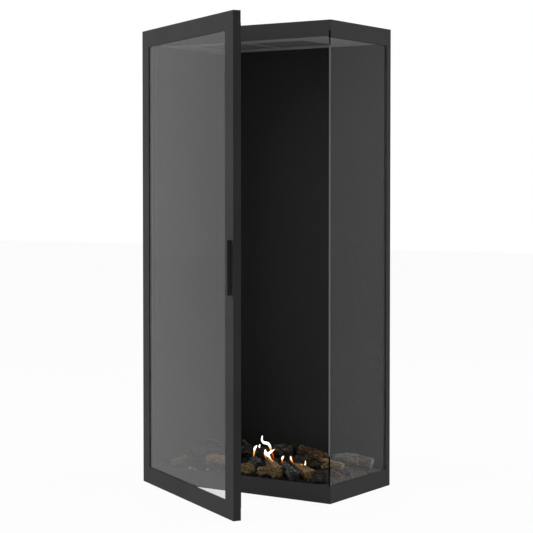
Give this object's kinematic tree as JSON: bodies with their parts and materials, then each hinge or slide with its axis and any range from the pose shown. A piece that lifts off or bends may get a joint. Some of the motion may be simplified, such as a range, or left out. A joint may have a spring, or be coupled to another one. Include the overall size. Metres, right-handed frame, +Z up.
{
  "type": "corner gas fireplace",
  "caption": "Tall two-sided corner gas fireplace with a hinged glass front door, a fixed side pane and a bed of ceramic logs.",
  "frame": {"origin": "middle of the body's underside, on the floor", "axes": "+X to the viewer's right, towards the glass side; -Y out of the front, where the door opens; +Z up"},
  "size_m": [0.5791, 0.6172, 1.21],
  "materials": {
    "casing_paint": "fine-textured matt powder coat, anthracite",
    "door_paint": "fine-textured matt powder coat, anthracite",
    "chamber_black": "matt black heat-resistant coating",
    "ceiling_paint": "matt grey heat-resistant coating",
    "flue_steel": "rolled galvanised steel",
    "clear_glass": "clear heat-resistant glass, very slightly grey",
    "seal_tape": "woven black glass-fibre tape",
    "burner_steel": "drawn stainless steel, dulled by heat",
    "brass": "turned brass",
    "electrode_ceramic": "white fired insulator",
    "ember_ceramic": "dark crumbled ember fibre",
    "tan_log": "moulded ceramic fibre, painted as split light wood",
    "grey_log": "moulded ceramic fibre, painted as grey bark",
    "brown_log": "moulded ceramic fibre, painted as brown bark",
    "charred_log": "moulded ceramic fibre, painted as charred wood",
    "screw_steel": "blackened steel",
    "handle_black": "satin black coating",
    "magnet_nickel": "nickel plating",
    "flame": "glowing gas flame, stands for light and not for a solid"
  },
  "bodies": {
    "firebox": {"base_plate": "casing_paint", "base_frame": "casing_paint", "front_left_post": "casing_paint", "rear_left_post": "casing_paint", "rear_right_post": "casing_paint", "top_frame": "casing_paint", "roof_plate": "casing_paint", "rear_casing": "casing_paint", "left_casing": "casing_paint", "casing_screws": "screw_steel", "rear_liner": "chamber_black", "left_liner": "chamber_black", "ceiling_plate": "ceiling_paint", "left_outlet_panel": "ceiling_paint", "right_outlet_panel": "ceiling_paint", "flue_collector": "ceiling_paint", "inner_flue_spigot": "flue_steel", "outer_flue_spigot": "flue_steel", "side_glass": "clear_glass", "side_glass_seal": "seal_tape", "side_glass_retainer": "chamber_black", "hearth_plate": "chamber_black", "burner_tray": "chamber_black", "burner_tube": "burner_steel", "injector": "brass", "gas_pipe": "burner_steel", "gas_inlet": "brass", "pilot_burner": "burner_steel", "ignition_electrode": "electrode_ceramic", "flame_sensor": "burner_steel", "ember_bed": "ember_ceramic", "log_left_tan": "tan_log", "log_left_grey": "grey_log", "log_left_split": "tan_log", "log_left_back": "brown_log", "log_back_dark": "brown_log", "log_front_round": "tan_log", "log_charred_left": "charred_log", "log_fork": "tan_log", "log_charred_middle": "charred_log", "log_split_middle": "tan_log", "log_front_right": "grey_log", "log_branch": "tan_log", "log_back_grey": "grey_log", "log_back_brown": "brown_log", "log_back_right": "brown_log", "log_side_grey": "grey_log", "log_side_brown": "brown_log", "log_offcuts": "charred_log", "hinge_brackets": "door_paint"},
    "door": {"door_frame": "door_paint", "door_glass": "clear_glass", "door_glass_seal": "seal_tape", "door_retaining_frame": "door_paint", "retaining_screws": "screw_steel", "door_seal": "seal_tape", "door_hinge_knuckles": "door_paint", "handle": "handle_black", "handle_fixings": "handle_black", "door_magnets": "magnet_nickel"}
  },
  "joints": [
    {"name": "door_swing", "type": "hinge", "parent": "firebox", "child": "door", "pos_m": [-0.282, -0.1554, 0.605], "axis": [0, 0, -1], "range_deg": [-30, 60]}
  ]
}
